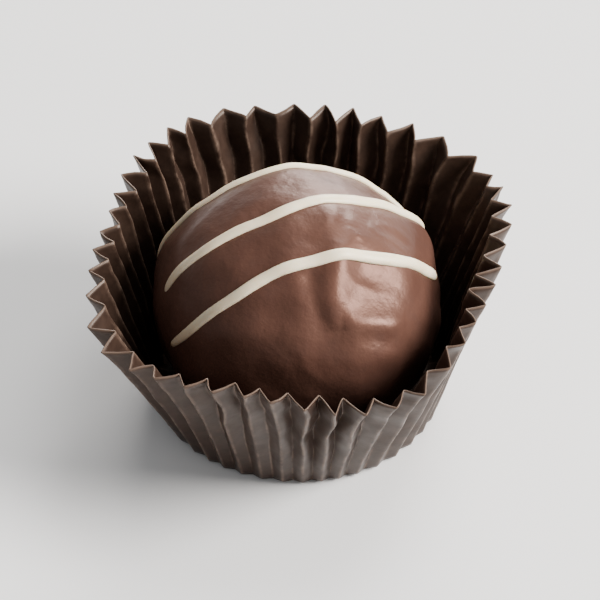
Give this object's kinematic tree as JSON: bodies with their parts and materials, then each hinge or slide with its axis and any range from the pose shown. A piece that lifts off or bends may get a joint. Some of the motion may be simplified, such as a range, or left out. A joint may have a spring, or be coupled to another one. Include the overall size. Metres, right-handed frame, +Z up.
{
  "type": "chocolate truffle in a paper case",
  "caption": "Round hand-dipped milk chocolate truffle with thin lines of white chocolate drizzle, sitting in a pleated brown paper case with a flared, squared rim.",
  "frame": {"origin": "middle of the part's footprint, on the surface that the paper case stands on", "axes": "+Z up; +Y along the longer side of the case's squared rim, away from the front; +X to the right"},
  "size_m": [0.0394, 0.042, 0.024],
  "materials": {
    "chocolate": "satin milk chocolate with ivory white chocolate lines",
    "case_paper": "dark brown glassine, semi-gloss"
  },
  "bodies": {
    "root": {"truffle": "chocolate", "paper_case": "case_paper"}
  },
  "joints": []
}
